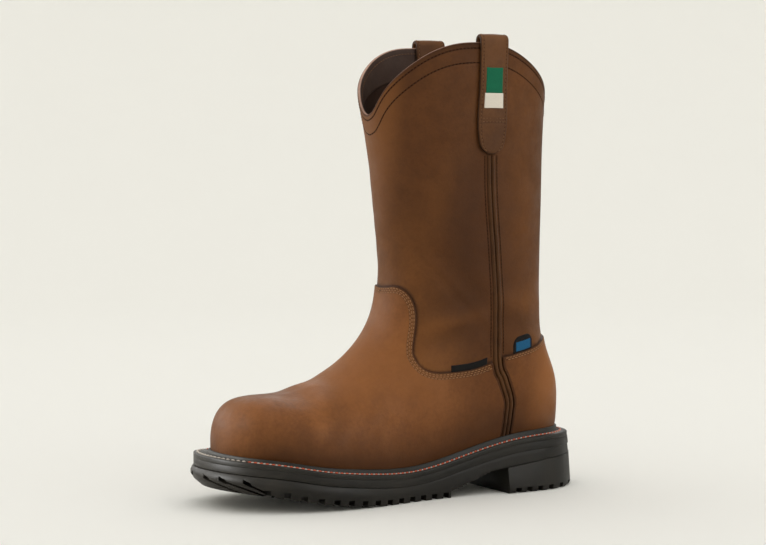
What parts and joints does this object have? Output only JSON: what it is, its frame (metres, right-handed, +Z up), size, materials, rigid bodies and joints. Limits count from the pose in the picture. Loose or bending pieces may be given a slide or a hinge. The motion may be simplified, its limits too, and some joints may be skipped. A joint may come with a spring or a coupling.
{
  "type": "western work boot",
  "caption": "Left pull-on western work boot with a scalloped collar, pull straps, a rounded toe and a lugged rubber sole with a separate heel.",
  "frame": {"origin": "on the floor, under the middle of the heel tread", "axes": "+Z up, -Y towards the toe, +X towards the lateral side of the left foot"},
  "size_m": [0.1204, 0.3142, 0.3493],
  "materials": {
    "shaft_leather": "oiled, satin",
    "foot_leather": "oiled, satin",
    "strap_leather": "satin",
    "welt_rubber": "matte",
    "sole_rubber": "matte",
    "insole_leather": "matte"
  },
  "bodies": {
    "root": {"upper": "shaft_leather", "vamp": "foot_leather", "counter": "foot_leather", "side_seam_lateral": "shaft_leather", "pull_strap_lateral": "strap_leather", "side_seam_medial": "shaft_leather", "pull_strap_medial": "strap_leather", "welt": "welt_rubber", "midsole": "sole_rubber", "outsole": "sole_rubber", "heel": "sole_rubber", "insole": "insole_leather"}
  },
  "joints": []
}
